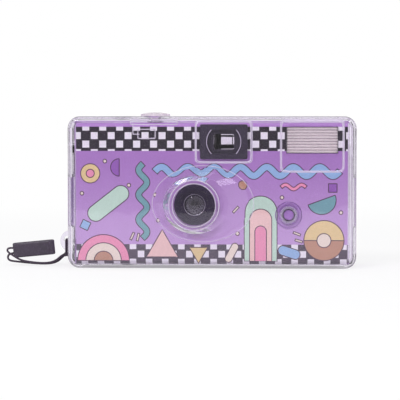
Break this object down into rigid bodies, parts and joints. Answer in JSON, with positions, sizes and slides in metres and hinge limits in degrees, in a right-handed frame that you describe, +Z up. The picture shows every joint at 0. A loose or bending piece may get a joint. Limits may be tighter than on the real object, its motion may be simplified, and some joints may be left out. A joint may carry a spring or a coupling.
{
  "type": "disposable film camera",
  "caption": "Single-use 35 mm flash camera in a printed wrap, inside a clear waterproof case with side latches, a push button, a winding knob and a short strap.",
  "frame": {"origin": "on the flat base of the case, half way along its width, in the plane where the front and back shells meet", "axes": "+X to the viewer's right when facing the lens, +Y from the lens towards the back, +Z up"},
  "size_m": [0.1458, 0.0485, 0.0649],
  "materials": {
    "clear_case": "clear polished acrylic with a faint lilac tint",
    "button_clear": "smoky clear plastic",
    "seal_clear": "clear silicone rubber",
    "seal_rubber": "matt black rubber",
    "steel": "bright steel",
    "knob_black": "black moulded plastic",
    "body_black": "fine-textured black plastic",
    "print": "printed card with a gloss film",
    "lens_glass": "clear optical plastic",
    "diffuser": "ribbed clear plastic",
    "reflector": "bright metallised",
    "board": "green circuit board",
    "component": "dark sleeve",
    "battery_jacket": "plain painted jacket",
    "contact_brass": "bright brass",
    "can_metal": "plain painted can",
    "film": "glossy film",
    "counter_white": "white disc with plain marks",
    "lamp": "orange lamp lens",
    "button_lilac": "lilac moulded button",
    "cord_black": "braided black cord",
    "strap_black": "flat soft black sleeve"
  },
  "bodies": {
    "camera": {"aperture_plate": "body_black", "back_cover": "body_black", "battery": "battery_jacket", "battery_contacts": "contact_brass", "blade_spring": "steel", "button_boot": "seal_clear", "cartridge_can": "can_metal", "case_back": "clear_case", "case_front": "clear_case", "case_gasket": "seal_clear", "film_strip": "film", "flash_board": "board", "flash_capacitor": "component", "flash_diffuser": "diffuser", "flash_push_seal": "seal_clear", "flash_reflector": "reflector", "flash_transformer": "component", "flash_tube": "lens_glass", "front_cover": "body_black", "knob_seal": "seal_rubber", "latch_pins": "steel", "lens_barrel": "body_black", "main_frame": "body_black", "printed_wrap": "print", "ready_lamp": "lamp", "shutter_pivot": "steel", "strap_cord_lower": "cord_black", "strap_cord_upper": "cord_black", "strap_hitch": "cord_black", "strap_sleeve": "strap_black", "taking_lens": "lens_glass", "viewfinder_eyepiece": "lens_glass", "viewfinder_frame": "body_black", "viewfinder_front_lens": "lens_glass", "viewfinder_tunnel": "body_black"},
    "shutter_press": {"case_button": "button_clear", "button_clip": "steel", "button_spring": "steel"},
    "shutter_key": {"shutter_button": "body_black", "shutter_spring": "steel"},
    "flash_press": {"flash_push": "clear_case", "flash_push_clip": "steel"},
    "flash_key": {"flash_button": "button_lilac"},
    "left_clasp": {"latch_left": "clear_case"},
    "right_clasp": {"latch_right": "clear_case"},
    "winder": {"advance_knob": "knob_black", "knob_shaft": "knob_black", "friction_ring": "seal_rubber"},
    "film_winder": {"thumbwheel": "body_black", "cartridge_spool": "body_black"},
    "supply": {"supply_spool": "body_black", "film_roll": "film"},
    "film_sprocket": {"sprocket": "body_black"},
    "counter": {"counter_disc": "counter_white"},
    "blade": {"shutter_blade": "body_black"},
    "kicker": {"kick_lever": "steel"}
  },
  "joints": [
    {"name": "shutter_press_slide", "type": "slide", "parent": "camera", "child": "shutter_press", "axis": [0, 0, 1], "range_m": [-0.0012, 0], "stiffness_N_per_m": 500, "springref_m": 0.0002, "deforming": ["button_spring"]},
    {"name": "shutter_key_slide", "type": "slide", "parent": "camera", "child": "shutter_key", "axis": [0, 0, 1], "range_m": [-0.0012, 0], "stiffness_N_per_m": 300, "springref_m": 0.0002, "deforming": ["shutter_spring"]},
    {"name": "flash_press_slide", "type": "slide", "parent": "camera", "child": "flash_press", "axis": [0, 1, 0], "range_m": [0, 0.001], "stiffness_N_per_m": 500, "springref_m": -0.0002},
    {"name": "flash_key_slide", "type": "slide", "parent": "camera", "child": "flash_key", "axis": [0, 1, 0], "range_m": [0, 0.001], "stiffness_N_per_m": 400, "springref_m": -0.0002},
    {"name": "left_latch_hinge", "type": "hinge", "parent": "camera", "child": "left_clasp", "pos_m": [-0.059, 0.009, 0.0275], "axis": [0, 0, -1], "range_deg": [0, 110]},
    {"name": "right_latch_hinge", "type": "hinge", "parent": "camera", "child": "right_clasp", "pos_m": [0.059, 0.009, 0.0275], "axis": [0, 0, 1], "range_deg": [0, 110]},
    {"name": "advance_turn", "type": "hinge", "parent": "camera", "child": "winder", "pos_m": [-0.0402, 0.021, 0.049], "axis": [0, 1, 0], "continuous": true},
    {"name": "thumbwheel_turn", "type": "hinge", "parent": "camera", "child": "film_winder", "pos_m": [-0.0402, 0.0008, 0.055], "axis": [0, 0, 1], "continuous": true},
    {"name": "supply_turn", "type": "hinge", "parent": "camera", "child": "supply", "pos_m": [0.042, 0.00276, 0.0266], "axis": [0, 0, 1], "continuous": true},
    {"name": "sprocket_turn", "type": "hinge", "parent": "camera", "child": "film_sprocket", "pos_m": [-0.015, 0.00676, 0.0434], "axis": [0, 0, 1], "continuous": true},
    {"name": "counter_turn", "type": "hinge", "parent": "camera", "child": "counter", "pos_m": [0.0205, -0.002, 0.0584], "axis": [0, 0, 1], "continuous": true},
    {"name": "shutter_blade_swing", "type": "hinge", "parent": "camera", "child": "blade", "pos_m": [-0.0004, -0.0105, 0.0336], "axis": [0, 1, 0], "range_deg": [0, 35], "stiffness_Nm_per_rad": 0.00002, "springref_deg": -28.65},
    {"name": "kick_lever_swing", "type": "hinge", "parent": "camera", "child": "kicker", "pos_m": [-0.004, 0, 0.0455], "axis": [0, 0, 1], "range_deg": [0, 22], "stiffness_Nm_per_rad": 0.0003, "springref_deg": -17.19}
  ],
  "couplings": [
    {"joint": "shutter_key_slide", "follows": "shutter_press_slide", "ratio": 1},
    {"joint": "flash_key_slide", "follows": "flash_press_slide", "ratio": 1},
    {"joint": "thumbwheel_turn", "follows": "advance_turn", "ratio": 0.4082},
    {"joint": "supply_turn", "follows": "advance_turn", "ratio": 0.2915},
    {"joint": "sprocket_turn", "follows": "advance_turn", "ratio": -0.5013},
    {"joint": "counter_turn", "follows": "advance_turn", "ratio": 0.0186}
  ]
}
